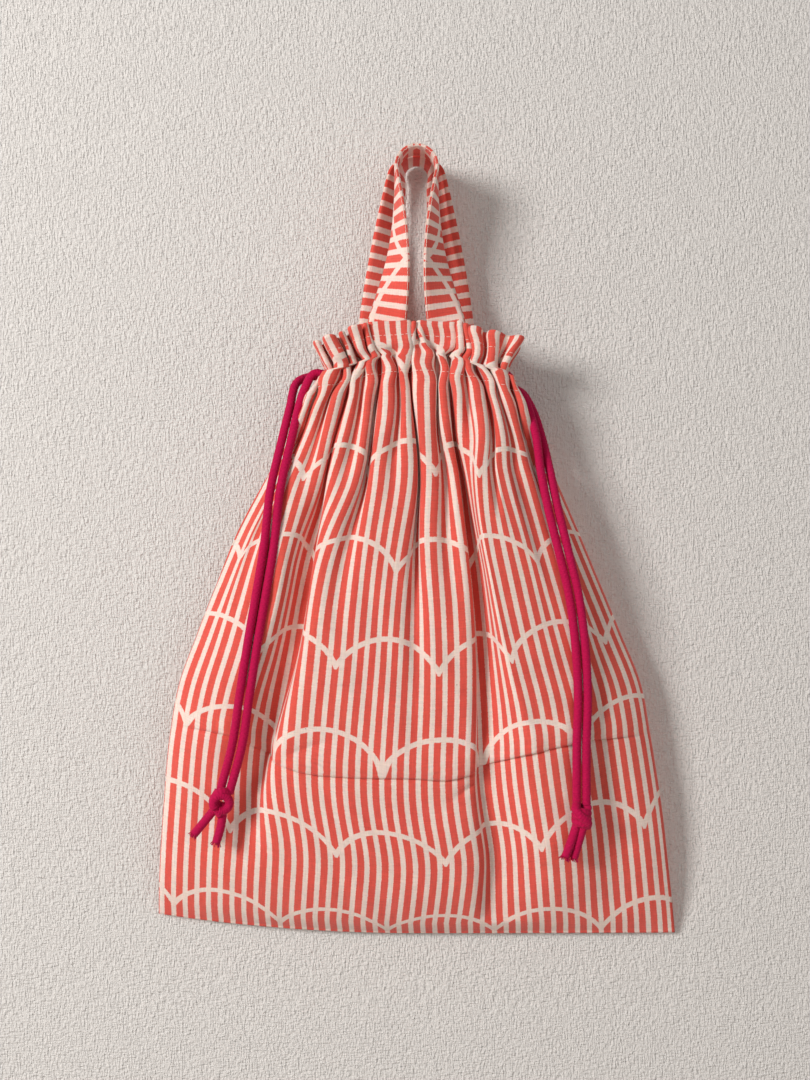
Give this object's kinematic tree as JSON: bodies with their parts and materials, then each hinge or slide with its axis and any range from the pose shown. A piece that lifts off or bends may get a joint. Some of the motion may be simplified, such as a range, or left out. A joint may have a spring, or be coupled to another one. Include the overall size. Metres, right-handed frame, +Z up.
{
  "type": "drawstring pouch",
  "caption": "Flat printed-cotton drawstring pouch with a gathered, frilled mouth, strap handles to hang it by and knotted pull cords at the sides.",
  "frame": {"origin": "underside of the handles' tops, midway between the two straps, where a hook bears", "axes": "+Z up, the front panel faces -Y, +X to the right as seen from the front"},
  "size_m": [0.3002, 0.0558, 0.4526],
  "materials": {
    "printed_cotton": "matte woven cotton, coral stripes and scallops printed on a cream ground",
    "braided_cord": "matte round braid, deep pink"
  },
  "bodies": {
    "root": {"front_panel": "printed_cotton", "back_panel": "printed_cotton", "front_handle": "printed_cotton", "back_handle": "printed_cotton", "left_drawcord": "braided_cord", "right_drawcord": "braided_cord", "left_knot": "braided_cord", "right_knot": "braided_cord"}
  },
  "joints": []
}
